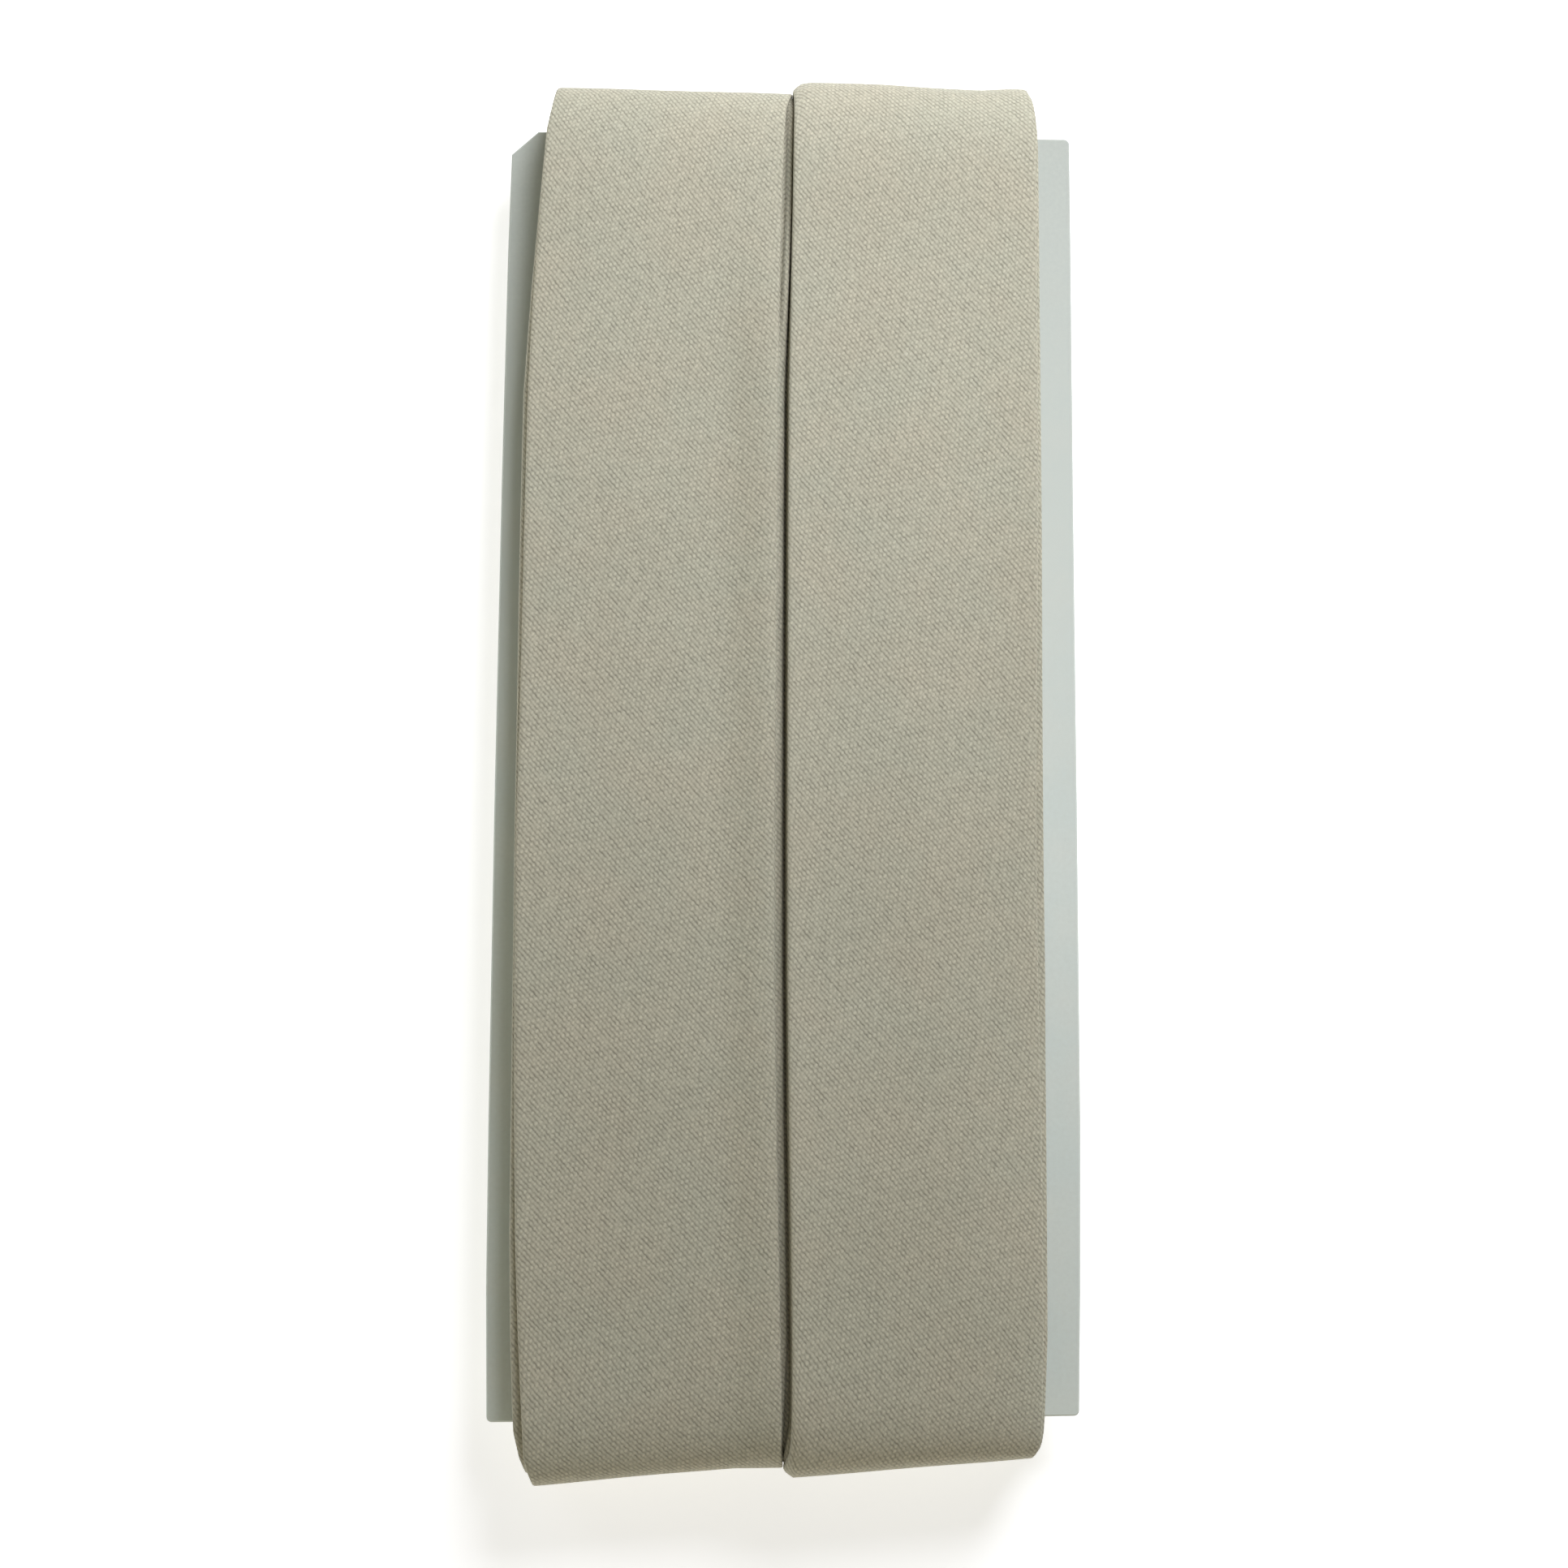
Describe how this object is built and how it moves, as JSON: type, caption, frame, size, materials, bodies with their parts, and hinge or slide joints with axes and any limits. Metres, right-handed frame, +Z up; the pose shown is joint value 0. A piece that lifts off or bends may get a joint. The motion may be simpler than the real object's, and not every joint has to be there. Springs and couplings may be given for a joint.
{
  "type": "roll of quilt binding",
  "caption": "Folded bias binding tape in beige cotton, wound side by side round a flat white card.",
  "frame": {"origin": "middle of the part's footprint, on the surface that it lies on", "axes": "+Z up out of the front of the winding, +Y along the tape and the card's long sides, +X across the two lanes"},
  "size_m": [0.0513, 0.1246, 0.0122],
  "materials": {
    "cotton_tape": "matte",
    "white_card": "matte"
  },
  "bodies": {
    "root": {"binding": "cotton_tape", "card": "white_card"}
  },
  "joints": []
}
